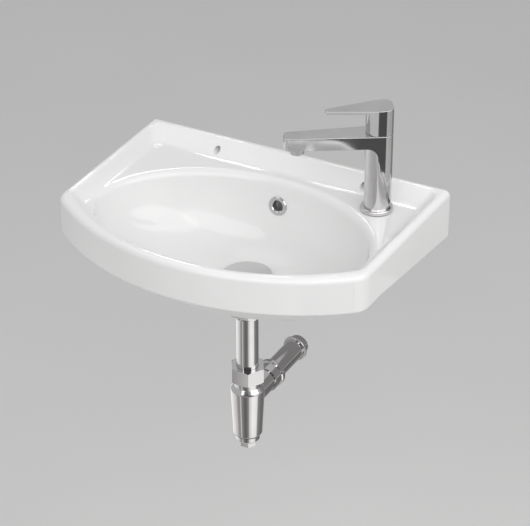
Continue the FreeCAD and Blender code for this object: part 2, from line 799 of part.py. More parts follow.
def nut_envelope(flats, bore, low, high):
    """The turned shape that a hexagon nut is cut to: its bore and its chamfered corners."""
    corner = flats / SQUARE_ROOT_OF_3
    return [
        (bore, low), (corner - S.nut_chamfer, low), (corner, low + S.nut_chamfer / 2),
        (corner, high - S.nut_chamfer / 2), (corner - S.nut_chamfer, high), (bore, high),
    ]


def hexagon_nut(label, flats, profile, low, high, **where):
    """A hexagon nut: a hexagonal bar cut to a turned shape between two heights."""
    bar = doc.addObject("Part::Prism", f"{label}_bar")
    bar.Polygon = 6
    bind(bar, "Circumradius", flats / SQUARE_ROOT_OF_3)
    bind(bar, "Height", high - low)
    place(bar, z=low)
    nut = doc.addObject("Part::Common", label)
    nut.Base = bar
    nut.Tool = turned(f"{label}_envelope", profile)
    nut.Label = label
    place(nut, **where)
    return nut


def build_overflow_ring():
    mouth_y, mouth_z, tilt = overflow_mouth()
    bore = S.overflow_ring_bore_radius
    sleeve = S.overflow_hole_radius - S.free_clearance
    face = S.overflow_ring_thickness
    edge = S.overflow_ring_edge
    return turned("overflow_ring", [
        (bore, -S.overflow_ring_sleeve_length), (sleeve, -S.overflow_ring_sleeve_length), (sleeve, ZERO),
        (S.overflow_ring_radius, ZERO), (S.overflow_ring_radius, face - edge),
        (S.overflow_ring_radius - edge, face), (bore + edge, face), (bore, face - edge),
    ], x=ZERO, y=mouth_y, z=RIM + mouth_z, axis=X_AXIS, angle=UPRIGHT - tilt)


def waste_place():
    """The waste's axis at its seat in the bowl."""
    return {"y": -S.waste_back, "z": RIM - S.bowl_drop}


def build_waste():
    """The flanged waste with its seals and nut."""
    where = waste_place()
    seal = S.waste_top_seal_thickness
    top = seal + S.waste_flange_thickness
    tube = S.waste_tube_radius
    body = turned("waste_body", [
        (S.waste_bore_radius, -S.waste_tube_drop), (tube, -S.waste_tube_drop), (tube, seal),
        (S.waste_flange_radius, seal), (S.waste_flange_radius, top - S.waste_flange_edge),
        (S.waste_flange_radius - S.waste_flange_edge, top), (S.waste_bore_radius, top),
    ], **where)
    half = S.waste_bridge_width / 2
    span = S.waste_bore_radius + (tube - S.waste_bore_radius) / 2
    for name, reach, width in (("bridge_across", span, half), ("bridge_along", half, span)):
        bar = new_sketch(body, f"{name}_outline", "XY_Plane", -S.waste_bridge_drop)
        draw_outline(bar, [(-reach, -width), (reach, -width), (reach, width), (-reach, width)])
        pad = feature(body, "Pad", name, bar)
        bind(pad, "Length", S.waste_bridge_height)
        pad.Reversed = True
    hub = new_sketch(body, "bridge_hub_circle", "XY_Plane", -S.waste_bridge_drop)
    draw_circle(hub, ZERO, ZERO, S.waste_hub_radius)
    pad = feature(body, "Pad", "bridge_hub", hub)
    bind(pad, "Length", S.waste_bridge_height)
    pad.Reversed = True
    cut_round(body, "bridge_hole", "XY_Plane", -S.waste_bridge_drop, ZERO, ZERO,
              S.click_housing_radius + S.seat_clearance, S.waste_bridge_height)
    level = (S.bowl_drop - S.waste_boss_drop) / 2
    for name, role in (("windows_along", "XZ_Plane"), ("windows_across", "YZ_Plane")):
        window = cut_round(body, name, role, ZERO, ZERO, level, S.waste_window_radius,
                           2 * S.waste_flange_radius)
        window.Midplane = True

    top_seal = turned("waste_top_seal", ring(
        S.waste_hole_radius, S.waste_top_seal_radius, ZERO, seal), **where)
    boss = -(S.waste_boss_drop - S.bowl_drop)
    thick = S.waste_bottom_seal_thickness
    bore = tube + S.seat_clearance
    bottom_seal = turned("waste_bottom_seal", [
        (bore, boss - thick), ((bore + S.waste_bottom_seal_radius) / 2, boss - thick),
        (S.waste_bottom_seal_radius, boss - thick / 2), (S.waste_bottom_seal_radius, boss), (bore, boss),
    ], **where)
    low = boss - thick - S.waste_back_nut_height
    nut = hexagon_nut("waste_back_nut", S.waste_back_nut_flats, nut_envelope(
        S.waste_back_nut_flats, bore, low, boss - thick), low, boss - thick, **where)
    return [body, top_seal, bottom_seal, nut]


def build_plug():
    """The push-to-open plug: cap, seal and stem, in a housing that the waste's bridge carries."""
    where = waste_place()
    flange = S.waste_top_seal_thickness + S.waste_flange_thickness
    low = flange + S.free_clearance
    under = low + S.waste_cap_seal_thickness
    rim = low + S.waste_cap_skirt_height
    radius = S.waste_cap_radius
    socket = S.click_stem_radius + S.seat_clearance
    dome = (radius * radius + S.waste_cap_dome * S.waste_cap_dome) / (2 * S.waste_cap_dome)
    cap = turned("waste_cap", [
        (ZERO, under + S.waste_cap_socket_depth), (socket, under + S.waste_cap_socket_depth),
        (socket, under - S.waste_cap_boss_height), (S.waste_cap_boss_radius, under - S.waste_cap_boss_height),
        (S.waste_cap_boss_radius, under), (radius - S.waste_cap_skirt, under),
        (radius - S.waste_cap_skirt, low), (radius, low), (radius, rim), (ZERO, rim + S.waste_cap_dome),
    ], {8: dome}, **where)
    seal_radius = S.waste_cap_seal_radius
    seal = turned("waste_cap_seal", ring(
        seal_radius - S.waste_cap_seal_width, seal_radius, low, under), **where)

    stem_radius = S.click_stem_radius
    collar = -S.click_collar_drop
    stem = turned("click_stem", [
        (ZERO, -S.click_stem_drop), (stem_radius, -S.click_stem_drop),
        (stem_radius, collar - S.click_collar_height),
        (S.click_collar_radius, collar - S.click_collar_height), (S.click_collar_radius, collar),
        (stem_radius, collar), (stem_radius, under + S.waste_cap_socket_depth),
        (ZERO, under + S.waste_cap_socket_depth),
    ], **where)

    bottom = -S.click_housing_drop
    top = -S.click_housing_top_drop
    guide = stem_radius + S.running_clearance
    chamber = S.click_chamber_radius
    wall = S.click_housing_wall
    seat = -S.waste_bridge_drop
    flange_radius = S.waste_hub_radius
    housing = turned("click_housing", [
        (ZERO, bottom), (S.click_housing_radius, bottom), (S.click_housing_radius, seat),
        (flange_radius, seat), (flange_radius, seat + S.click_housing_flange),
        (S.click_housing_radius, seat + S.click_housing_flange),
        (S.click_housing_radius, top), (guide, top), (guide, top - wall), (chamber, top - wall),
        (chamber, bottom + wall), (ZERO, bottom + wall),
    ], **where)
    return [cap, seal, stem, housing]


def build_union():
    """The tail tube and the union nut and washer that hang it under the waste."""
    where = waste_place()
    end = -S.waste_tube_drop
    flange = end - S.tail_washer_thickness
    shoulder = flange - S.tail_flange_thickness
    inner = S.tail_tube_radius - S.tail_tube_wall
    foot = S.bowl_drop - S.trap_drop - S.tail_tube_dip
    washer = turned("tail_union_washer", ring(S.tail_tube_radius, S.tail_flange_radius, flange, end), **where)
    tube = turned("tail_tube", [
        (inner, foot), (S.tail_tube_radius, foot), (S.tail_tube_radius, shoulder),
        (S.tail_flange_radius, shoulder), (S.tail_flange_radius, flange), (inner, flange),
    ], **where)
    thread = S.waste_tube_radius + S.seat_clearance
    hole = S.tail_tube_radius + S.free_clearance
    top = end + S.tail_union_thread_length
    collar = S.tail_union_collar_radius
    corner = S.tail_union_flats / SQUARE_ROOT_OF_3
    roof = shoulder - S.tail_union_roof
    low = roof - S.tail_union_collar_length
    nut = hexagon_nut("tail_union_nut", S.tail_union_flats, [
        (hole, low), (collar, low), (collar, roof), (corner - S.nut_chamfer, roof),
        (corner, roof + S.nut_chamfer / 2), (corner, top - S.nut_chamfer / 2), (corner - S.nut_chamfer, top),
        (thread, top), (thread, shoulder), (hole, shoulder),
    ], low, top, **where)
    return [washer, tube, nut]


def trap_place():
    """The trap's axis at the top of its inlet nut."""
    return {"y": -S.waste_back, "z": RIM - S.trap_drop}


def build_trap():
    """The bottle trap: body with its side outlet, inlet nut and seal, and clean-out cup and seal."""
    where = trap_place()
    neck, bore = S.trap_neck_radius, S.trap_neck_bore_radius
    neck_top, waist, shoulder, foot = (
        -S.trap_neck_top_drop, -S.trap_waist_drop, -S.trap_shoulder_drop, -S.trap_foot_drop)
    nut_foot = -S.trap_inlet_nut_height
    body = turned("trap_body", [
        (ZERO, foot), (S.trap_foot_radius, foot), (S.trap_shoulder_radius, shoulder),
        (S.trap_waist_radius, waist), (S.trap_waist_radius, nut_foot), (neck, nut_foot), (neck, neck_top),
        (ZERO, neck_top),
    ], rounds=[(S.trap_shoulder_round, [(S.trap_shoulder_radius, shoulder)]),
               (S.trap_foot_round, [(S.trap_foot_radius, foot)])], **where)
    stub = new_sketch(body, "outlet_stub_circle", "XZ_Plane")
    draw_circle(stub, ZERO, -S.outlet_drop, S.outlet_stub_radius)
    pad = feature(body, "Pad", "outlet_stub", stub)
    bind(pad, "Length", S.outlet_stub_reach)
    pad.Reversed = True
    hollow = new_sketch(body, "trap_hollow_profile", "XZ_Plane")
    wall = S.trap_wall
    draw_outline(hollow, [
        (ZERO, foot), (S.trap_mouth_radius, foot), (S.trap_mouth_radius, foot + S.trap_foot_thickness),
        (S.trap_foot_radius - wall, foot + S.trap_foot_thickness),
        (S.trap_shoulder_radius - wall, shoulder - wall), (bore, waist), (bore, neck_top), (ZERO, neck_top),
    ])
    groove = feature(body, "Groove", "trap_hollow", hollow)
    groove.ReferenceAxis = (hollow, ["V_Axis"])
    cut_round(body, "outlet_bore", "XZ_Plane", -(S.trap_foot_radius - wall), ZERO, -S.outlet_drop,
              S.outlet_stub_bore_radius, S.outlet_stub_reach)
    cut_round(body, "outlet_socket", "XZ_Plane", -(S.outlet_stub_reach - S.outlet_socket_depth), ZERO,
              -S.outlet_drop, S.outlet_tube_radius + S.seat_clearance, S.outlet_socket_depth)

    hole = S.tail_tube_radius + S.free_clearance
    roof = -S.trap_inlet_nut_roof
    thread = neck + S.seat_clearance
    corner = S.trap_inlet_nut_flats / SQUARE_ROOT_OF_3
    half = S.nut_chamfer / 2
    nut = hexagon_nut("trap_inlet_nut", S.trap_inlet_nut_flats, [
        (hole, ZERO), (hole, roof), (thread, roof), (thread, nut_foot), (corner - S.nut_chamfer, nut_foot),
        (corner, nut_foot + half), (corner, -half), (corner - S.nut_chamfer, ZERO),
    ], nut_foot, ZERO, **where)
    snug = S.tail_tube_radius + S.seat_clearance
    inlet_seal = turned("trap_inlet_seal", [
        (snug, neck_top), (snug + S.trap_inlet_seal_lip, neck_top), (neck, neck_top - roof / 2), (neck, roof),
        (snug, roof),
    ], **where)

    seal_thickness = S.trap_cup_seal_thickness
    cup_top = foot - seal_thickness
    cup_low = cup_top - S.trap_cup_height
    cup_thread = S.trap_mouth_radius - S.seat_clearance
    rise = cup_top + S.trap_cup_thread_length
    hollow_radius = cup_thread - S.trap_cup_wall
    cup = turned("trap_cup", [
        (ZERO, cup_low), (S.trap_cup_radius, cup_low), (S.trap_cup_radius, cup_top), (cup_thread, cup_top),
        (cup_thread, rise), (hollow_radius, rise), (hollow_radius, cup_low + S.trap_cup_wall),
        (ZERO, cup_low + S.trap_cup_wall),
    ], rounds=[(S.trap_cup_round, [(S.trap_cup_radius, cup_low)])], **where)
    plug = feature(cup, "AdditivePrism", "trap_plug")
    plug.Polygon = 6
    bind(plug, "Circumradius", S.trap_plug_flats / SQUARE_ROOT_OF_3)
    bind(plug, "Height", S.trap_plug_height)
    place(plug, z=cup_low - S.trap_plug_height)
    cup_seal = turned("trap_cup_seal", ring(
        S.trap_mouth_radius, S.trap_cup_seal_radius, cup_top, foot), **where)
    return [body, nut, inlet_seal, cup, cup_seal]


def build_outlet():
    """The outlet tube with its nut and seal on the trap, and the collar where it meets the wall."""
    where = {"y": -S.waste_back, "z": RIM - S.trap_drop - S.outlet_drop, "axis": X_AXIS, "angle": -UPRIGHT}
    radius = S.outlet_tube_radius
    tube_start = S.outlet_stub_reach - S.outlet_socket_depth
    bore = radius - S.outlet_tube_wall
    tube_end = S.waste_back + S.outlet_wall_entry
    tube = turned("outlet_tube", [
        (bore, tube_start), (radius, tube_start), (radius, S.waste_back),
        (S.outlet_spigot_radius, S.waste_back), (S.outlet_spigot_radius, tube_end), (bore, tube_end),
    ], **where)
    start = S.outlet_nut_start
    end = start + S.outlet_nut_length
    lip = end - S.outlet_nut_lip_length
    hole = radius + S.free_clearance
    thread = S.outlet_stub_radius + S.seat_clearance
    roof = end - S.outlet_nut_roof
    body, big = S.outlet_nut_radius, S.outlet_nut_lip_radius
    nut = turned("trap_outlet_nut", [
        (thread, start), (body, start), (body, lip), (big, lip + (big - body)), (big, end), (hole, end),
        (hole, roof), (thread, roof),
    ], rounds=[(S.outlet_nut_round, [(big, end)])], **where)
    snug = radius + S.seat_clearance
    seal = turned("trap_outlet_seal", ring(snug, S.outlet_stub_radius, S.outlet_stub_reach, roof), **where)
    collar_low = S.waste_back - S.wall_collar_thickness
    collar = turned("wall_collar", ring(snug, S.wall_collar_radius, collar_low, S.waste_back),
                    rounds=[(S.wall_collar_round, [(S.wall_collar_radius, collar_low)])], **where)
    return [tube, nut, seal, collar]


def tap_place():
    """The tap's axis on the deck, turned so that the spout points over the bowl."""
    return {"x": S.tap_side, "y": -S.tap_back, "z": RIM - S.deck_drop, "angle": S.tap_turn}


def aerator_place():
    """The aerator's axis under the spout's end, at the height of the deck."""
    where = tap_place()
    where["x"] = S.tap_side + S.aerator_reach * cosine(S.tap_turn)
    where["y"] = -S.tap_back + S.aerator_reach * sine(S.tap_turn)
    return where


def plan_block(label, tip, tip_half_width, tip_radius, high):
    """A block with the plan of the tap's top: a square back with round corners and sides that run parallel
    past the tap's axis, then taper, tangent all the way, to a tip with round corners."""
    body = new_body(label)
    half = S.tap_flank
    corner = S.tap_corner_radius
    inside = half - corner
    centre_x = tip - tip_radius
    centre_y = tip_half_width - tip_radius
    reach = root(centre_x * centre_x + centre_y * centre_y)
    taper = arc_sine((half - tip_radius) / reach) - slope_angle(centre_y, centre_x)
    right_side = [
        (-inside, -half), (ZERO, -half), (half * sine(taper), -half * cosine(taper)),
        (centre_x + tip_radius * sine(taper), -(centre_y + tip_radius * cosine(taper))), (tip, -centre_y),
    ]
    left_side = [(x, -y) for x, y in reversed(right_side)]
    sketch = new_sketch(body, f"{label}_plan", "XY_Plane")
    draw_outline(sketch, right_side + left_side + [(-half, inside), (-half, -inside)], {
        1: half, 3: tip_radius, 5: tip_radius, 7: half, 9: corner, 11: corner})
    pad = feature(body, "Pad", f"{label}_pad", sketch)
    bind(pad, "Length", high)
    return body


def side_block(label, corners, bows):
    """A block with the side view of the tap, wide enough to cut to its plan."""
    body = new_body(label)
    sketch = new_sketch(body, f"{label}_side", "XZ_Plane")
    draw_outline(sketch, corners, bows)
    pad = feature(body, "Pad", f"{label}_pad", sketch)
    bind(pad, "Length", 2 * (S.tap_flank + S.cut_overrun))
    pad.Midplane = True
    return body


def combine(kind, label, base, tool):
    """A boolean of two solids."""
    made = doc.addObject(f"Part::{kind}", label)
    made.Base = base
    made.Tool = tool
    made.Label = label
    return made


def rounded(label, base, rounds):
    """A body made from a finished solid, with some of its edges rounded."""
    body = new_body(label)
    body.BaseFeature = base
    for index, (radius, wanted) in enumerate(rounds):
        round_edges(body, f"{label}_{index}", radius, wanted)
    return body


def rod(label, radius, start, length, height):
    """A round bar along the tap's own X axis."""
    bar = doc.addObject("Part::Cylinder", label)
    bind(bar, "Radius", radius)
    bind(bar, "Height", length)
    place(bar, x=start, z=height, axis=FreeCAD.Vector(0, 1, 0), angle=UPRIGHT)
    return bar


def build_tap_body():
    """The cast tap body: round column, flat-sided fin and spout, bored for all that goes into it."""
    low = S.tap_base_seal_thickness
    top = S.tap_split_height
    radius = S.tap_column_radius
    under = top - S.spout_thickness
    column = turned("tap_column", [(ZERO, low), (radius, low), (radius, top), (ZERO, top)])
    plan = plan_block("spout_plan", S.spout_reach, S.spout_tip_half_width, S.spout_tip_radius, top)
    back = -S.tap_flank
    front = S.spout_reach + S.cut_overrun
    side = side_block("spout_side", [
        (back, S.fin_foot_height), (S.fin_waist_reach, S.fin_waist_height),
        (S.fin_waist_reach + S.fin_fillet, under), (front, under), (front, top), (back, top),
    ], {1: -S.fin_fillet})
    solid = combine("Fuse", "tap_casting", column, combine("Common", "spout_and_fin", side, plan))
    solid.Refine = True
    solid = rounded("softened_casting", solid, [
        (S.tap_edge_radius, lambda edge: level_at(edge, top)),
        (S.tap_edge_radius, lambda edge: level_at(edge, under) and edge.BoundBox.XMax > number(S.tap_flank)),
    ])

    tail = S.tap_shank_radius + S.seat_clearance
    waterway = S.tap_waterway_radius
    seat = S.headwork_seat_height
    bores = turned("tap_bores", [
        (ZERO, low), (tail, low), (tail, S.tap_tail_socket_depth), (waterway, S.tap_tail_socket_depth),
        (waterway, seat), (S.headwork_bore_radius, seat), (S.headwork_bore_radius, top), (ZERO, top),
    ])
    spout_bore = rod(
        "spout_bore", S.spout_waterway_radius, ZERO, S.aerator_reach, top - S.spout_waterway_drop)
    aerator_bore = doc.addObject("Part::Cylinder", "aerator_bore")
    bind(aerator_bore, "Radius", S.aerator_bore_radius)
    bind(aerator_bore, "Height", S.aerator_bore_depth)
    place(aerator_bore, x=S.aerator_reach, z=under)
    bored = combine("Cut", "bored_casting", solid, bores)
    bored = combine("Cut", "casting_with_waterway", bored, spout_bore)
    body = combine("Cut", "tap_body", bored, aerator_bore)
    place(body, **tap_place())
    return body


def build_tap_base():
    """What stands between the tap and the deck, and what clamps the tap from below."""
    where = tap_place()
    seal_top = S.tap_base_seal_thickness
    ring_top = seal_top + S.tap_base_ring_height
    snug = S.tap_column_radius + S.seat_clearance
    big = S.tap_base_ring_radius
    base_seal = turned("tap_base_seal", ring(
        S.tap_base_seal_bore_radius, S.tap_base_seal_radius, ZERO, seal_top), **where)
    base_ring = turned("tap_base_ring", ring(snug, big, seal_top, ring_top),
                       rounds=[(S.tap_base_ring_round, [(big, ring_top)])], **where)
    shank = S.tap_shank_radius
    tail = turned("tap_tail", [
        (S.tap_tail_bore_radius, -S.tap_tail_drop), (S.tap_tail_radius, -S.tap_tail_drop),
        (S.tap_tail_radius, -S.tap_shank_drop), (shank, -S.tap_shank_drop), (shank, S.tap_tail_socket_depth),
        (S.tap_tail_bore_radius, S.tap_tail_socket_depth),
    ], **where)
    bore = shank + S.seat_clearance
    deck = -S.deck_thickness
    washer_low = deck - S.tap_under_washer_thickness
    clamp_low = washer_low - S.tap_clamp_washer_thickness
    nut_low = clamp_low - S.tap_back_nut_height
    washer = turned("tap_under_washer", ring(bore, S.tap_under_washer_radius, washer_low, deck), **where)
    clamp = turned("tap_clamp_washer", ring(bore, S.tap_clamp_washer_radius, clamp_low, washer_low), **where)
    nut = hexagon_nut("tap_back_nut", S.tap_back_nut_flats, nut_envelope(
        S.tap_back_nut_flats, bore, nut_low, clamp_low), nut_low, clamp_low, **where)
    return [base_seal, base_ring, tail, washer, clamp, nut]


def ported_disc(label, low, along):
    """A ceramic valve disc with two ports, along the spout or across it."""
    radius = S.headwork_chamber_radius - S.running_clearance
    disc = turned(label, [(ZERO, low), (radius, low), (radius, low + S.disc_thickness),
                          (ZERO, low + S.disc_thickness)], **tap_place())
    for side in (-1, 1):
        reach = S.disc_port_reach * side
        x, y = (reach, ZERO) if along else (ZERO, reach)
        cut_round(disc, f"{label}_port_{side}", "XY_Plane", low + S.disc_thickness, x, y, S.disc_port_radius,
                  S.disc_thickness)
    return disc


def build_headwork():
    """The quarter-turn headwork: housing, bottom seal, two ceramic discs, spindle and its sealing ring."""
    where = tap_place()
    seat = S.headwork_seat_height
    low = seat + S.headwork_seal_thickness
    top = S.tap_split_height
    chamber = S.headwork_chamber_radius
    snug = S.headwork_bore_radius - S.seat_clearance
    waist = chamber + S.headwork_wall
    ceiling = low + S.headwork_chamber_height
    guide = S.spindle_radius + S.running_clearance
    crown = top + S.headwork_flange_height
    flange = S.headwork_flange_radius
    housing = turned("headwork_body", [
        (chamber, low), (snug, low), (snug, low + S.headwork_foot_height),
        (waist, low + S.headwork_foot_height), (waist, top - S.headwork_thread_length),
        (snug, top - S.headwork_thread_length), (snug, top), (flange, top),
        (flange, crown - S.nut_chamfer), (flange - S.nut_chamfer, crown), (guide, crown), (guide, ceiling),
        (chamber, ceiling),
    ], **where)
    window = cut_round(housing, "headwork_windows", "YZ_Plane", ZERO, ZERO, low + S.headwork_window_height,
                       S.headwork_window_radius, 4 * chamber)
    window.Midplane = True
    seal = turned("headwork_seal", ring(S.headwork_seal_bore_radius, snug, seat, low), **where)
    fixed = ported_disc("fixed_disc", low, along=True)
    turning = ported_disc("turning_disc", low + S.disc_thickness, along=False)

    foot = low + 2 * S.disc_thickness
    foot_top = foot + S.spindle_foot_height
    collar_top = ceiling - S.running_clearance
    collar = collar_top - S.spindle_collar_height
    shaft = S.spindle_radius
    groove = S.spindle_groove_height
    groove_top = groove + S.spindle_groove_width
    groove_radius = shaft - S.spindle_groove_depth
    spline = crown + S.lever_gap
    spindle = turned("spindle", [
        (ZERO, foot), (S.spindle_foot_radius, foot), (S.spindle_foot_radius, foot_top), (shaft, foot_top),
        (shaft, collar), (S.spindle_collar_radius, collar), (S.spindle_collar_radius, collar_top),
        (shaft, collar_top), (shaft, groove), (groove_radius, groove), (groove_radius, groove_top),
        (shaft, groove_top), (shaft, spline), (S.spindle_spline_radius, spline),
        (S.spindle_spline_radius, spline + S.spindle_spline_length), (ZERO, spline + S.spindle_spline_length),
    ], **where)
    slack = S.seat_clearance
    sealing = turned("spindle_ring", ring(
        groove_radius + slack, shaft, groove + slack, groove_top - slack), **where)
    return [housing, seal, fixed, turning, spindle, sealing]


def build_lever():
    """The lever: a hood over the headwork with a long flat paddle that falls towards its tip, its grub screw
    and a plug over that."""
    where = tap_place()
    low = S.tap_split_height + S.lever_gap
    top = S.lever_height
    back = -S.tap_flank
    front = S.lever_reach + S.cut_overrun
    tip = top - S.lever_tip_fall
    far = top - S.lever_tip_fall * (front - back) / (S.lever_reach - back)
    radius = S.tap_column_radius
    cheek = S.lever_cheek_reach
    curve = S.lever_cheek_radius
    fillet = S.lever_neck_fillet
    tilt = slope_angle(S.lever_tip_fall, S.lever_reach - back)
    neck = cheek + fillet + fillet * sine(tilt)
    plate = top - S.lever_tip_fall * (neck - back) / (S.lever_reach - back) - S.lever_plate_thickness
    column = turned("lever_column", [(ZERO, low), (radius, low), (radius, plate), (ZERO, plate)])
    plan = plan_block("lever_plan", S.lever_reach, S.lever_tip_half_width, S.lever_tip_radius, top)
    side = side_block("lever_side", [
        (back, low), (cheek - curve, low), (cheek, low + curve), (cheek, plate - fillet * cosine(tilt)),
        (neck, plate), (front, far - S.lever_plate_thickness), (front, far), (back, top),
    ], {1: curve, 3: -fillet})
    solid = combine("Fuse", "lever_casting", column, combine("Common", "hood_and_paddle", side, plan))
    solid.Refine = True
    solid = rounded("softened_lever", solid, [
        (S.tap_edge_radius, lambda edge: edge.BoundBox.ZMin > number(tip) - PICK_TOLERANCE),
        (S.tap_edge_radius, lambda edge: (
            edge.BoundBox.ZMin > number(tip - S.lever_plate_thickness) - PICK_TOLERANCE
            and edge.BoundBox.ZMax < number(plate) + PICK_TOLERANCE
            and edge.BoundBox.XMax > number(S.tap_flank))),
    ])

    crown = S.tap_split_height + S.headwork_flange_height + S.lever_gap
    flange = S.headwork_flange_radius + S.free_clearance
    spline = S.spindle_spline_radius + S.seat_clearance
    spline_top = crown + S.spindle_spline_length + S.seat_clearance
    cavity = turned("lever_cavity", [
        (ZERO, low), (flange, low), (flange, crown), (spline, crown), (spline, spline_top),
        (ZERO, spline_top)])
    screw_hole = rod("lever_screw_hole", S.lever_screw_radius + S.seat_clearance, back, S.tap_flank,
                     S.lever_screw_height)
    plug_seat = rod("lever_plug_seat", S.lever_plug_radius + S.seat_clearance, back, S.lever_plug_thickness,
                    S.lever_screw_height)
    hollow = combine("Cut", "hollow_lever", solid, cavity)
    drilled = combine("Cut", "drilled_lever", hollow, screw_hole)
    lever = combine("Cut", "lever", drilled, plug_seat)
    place(lever, **where)

    screw = new_body("lever_screw")
    tip = -(S.spindle_spline_radius + S.seat_clearance)
    bar = new_sketch(screw, "lever_screw_circle", "YZ_Plane", tip)
    draw_circle(bar, ZERO, S.lever_screw_height, S.lever_screw_radius)
    pad = feature(screw, "Pad", "lever_screw_bar", bar)
    bind(pad, "Length", S.lever_screw_length)
    pad.Reversed = True
    cut_round(screw, "lever_screw_socket", "YZ_Plane", tip - S.lever_screw_length, ZERO, S.lever_screw_height,
              S.lever_screw_socket_radius, S.lever_screw_socket_depth, reverse=True)
    place(screw, **where)

    plug = new_body("lever_plug")
    disc = new_sketch(plug, "lever_plug_circle", "YZ_Plane", back)
    draw_circle(disc, ZERO, S.lever_screw_height, S.lever_plug_radius)
    pad = feature(plug, "Pad", "lever_plug_disc", disc)
    bind(pad, "Length", S.lever_plug_thickness)
    place(plug, **where)
    return [lever, screw, plug]


def build_aerator():
    """The aerator under the spout's end: shell, insert with its jets, and washer."""
    where = aerator_place()
    under = S.tap_split_height - S.spout_thickness
    low = under - S.aerator_height
    top = under + S.aerator_thread_length
    radius = S.aerator_radius
    thread = S.aerator_bore_radius - S.seat_clearance
    bore = thread - S.aerator_wall
    edge = S.aerator_edge
    shell = turned("aerator_shell", [
        (bore, low), (radius - edge, low), (radius, low + edge), (radius, under), (thread, under),
        (thread, top), (bore, top),
    ], **where)
    insert_low = low + S.aerator_recess
    insert_top = insert_low + S.aerator_insert_length
    snug = bore - S.seat_clearance
    insert = turned("aerator_insert", [(ZERO, insert_low), (snug, insert_low), (snug, insert_top),
                                       (ZERO, insert_top)], **where)
    jets = new_sketch(insert, "aerator_jets_circles", "XY_Plane", insert_top)
    draw_circle(jets, ZERO, ZERO, S.aerator_jet_radius)
    for number_of_ring in range(JET_RINGS):
        reach = S.aerator_ring_radius + S.aerator_ring_step * number_of_ring
        count = 6 * (number_of_ring + 1)
        for index in range(count):
            angle = Size(360.0 * index / count, str(360.0 * index / count))
            draw_circle(jets, reach * cosine(angle), reach * sine(angle), S.aerator_jet_radius)
    holes = feature(insert, "Pocket", "aerator_jets", jets)
    bind(holes, "Length", S.aerator_insert_length)
    washer = turned("aerator_seal", ring(
        S.aerator_seal_bore_radius, thread, top, top + S.aerator_seal_thickness), **where)
    return [shell, insert, washer]


def write_parts(nodes):
    """Check every object, then write each sub-part to its own file."""
    doc.recompute()
    for obj in doc.Objects:
        if "Invalid" in obj.State or "Error" in obj.State:
            raise RuntimeError(f"{obj.Label}: {obj.State}")
    os.makedirs("parts", exist_ok=True)
    for node in nodes:
        if node.Shape.isNull() or not node.Shape.isValid():
            raise RuntimeError(f"{node.Label}: bad shape")
        node.Shape.exportStep(f"parts/{node.Label}.step")


write_parts([
    build_basin(), build_overflow_ring(), *build_waste(), *build_plug(), *build_union(), *build_trap(),
    *build_outlet(), build_tap_body(), *build_tap_base(), *build_headwork(), *build_lever(), *build_aerator(),
])
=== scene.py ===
import json
import math

import bpy
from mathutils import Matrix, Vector


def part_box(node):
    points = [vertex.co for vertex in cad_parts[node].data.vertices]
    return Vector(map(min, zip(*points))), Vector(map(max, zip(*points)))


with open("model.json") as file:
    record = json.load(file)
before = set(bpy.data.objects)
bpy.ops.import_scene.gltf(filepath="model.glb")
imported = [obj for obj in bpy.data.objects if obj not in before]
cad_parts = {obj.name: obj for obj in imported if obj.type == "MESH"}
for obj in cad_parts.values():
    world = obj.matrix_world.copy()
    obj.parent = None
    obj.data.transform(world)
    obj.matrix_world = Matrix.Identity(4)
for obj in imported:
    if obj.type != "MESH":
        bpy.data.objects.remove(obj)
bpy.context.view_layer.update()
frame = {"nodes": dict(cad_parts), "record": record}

# Camera: where it aims, from which side and height, how far off, and its focal length in picture widths.
CAMERA_AIM = Vector((0.0319, -0.150, -0.0716))
CAMERA_AZIMUTH = math.radians(27.99)
CAMERA_ELEVATION = math.radians(30.54)
CAMERA_DISTANCE = 2.866
CAMERA_SENSOR = 36.0
CAMERA_FOCAL_WIDTHS = 2200 / 530

# Floor and world: how high the rim hangs over the floor, and the share of its colour that worn floor keeps.
RIM_ABOVE_FLOOR = 0.85
FLOOR_SIZE = 14.0
FLOOR_COLOUR = (0.70, 0.70, 0.69)
FLOOR_WEAR = 0.97
FLOOR_ROUGHNESS = 0.9
FLOOR_GRAIN_DEPTH = 0.0002
WORLD_COLOUR = (0.985, 0.99, 1.0, 1.0)
WORLD_STRENGTH = 0.58

# The point in the bowl that the lamps face.
LAMP_AIM = (0, -0.16, 0)

# Colour of the cards and the ring that only shiny surfaces see.
CARD_COLOUR = (1.0, 0.985, 0.975, 1.0)

# Ring that the trap mirrors: how far below the trap its middle lies, its size and corners, and its glow at
# sides in degrees from the front towards the right.
RING_DROP = 0.27
RING_RADIUS = 0.45
RING_HEIGHT = 0.40
RING_CORNERS = 96
RING_GLOWS = (
    (-179, 0.30), (-150, 0.55), (-130, 1.25), (-85, 1.05), (-58, 0.80), (-42, 0.42), (-30, 0.36), (-22, 0.80),
    (-12, 0.30), (12, 0.16), (30, 0.30), (42, 0.95), (62, 1.25), (90, 1.15), (106, 0.30), (150, 0.18),
    (179, 0.30),
)

# Heights of the dark cards behind the basin and before the tap.
BACK_FLAG_LEVEL = -0.16
TAP_FLAG_LEVEL = -0.51

# Small bright cards that glint in the basin's rounded edges: how far the edges tilt there, the sides that
# they turn to, in degrees from the front towards the right, and the cards' distance, size and glow.
GLINT_TILT = math.radians(9)
GLINT_SIDES = {"left_glint": -28, "middle_glint": 20, "right_glint": 58}
GLINT_DISTANCE = 1.5
GLINT_WIDTH = 0.11
GLINT_HEIGHT = 0.22
GLINT_GLOW = 11.0
GLINT_EDGE_GLOW = 7.0

# Depth and roughness of the wall face that is left unglazed, and roughness of the thin glaze underneath.
BISQUE_DEPTH = 0.0012
BISQUE_ROUGHNESS = 0.85
UNDERSIDE_ROUGHNESS = 0.6

# Pitch and depth of the turning marks on the waste's cap.
TURNING_PITCH = 0.0006
TURNING_DEPTH = 0.000001

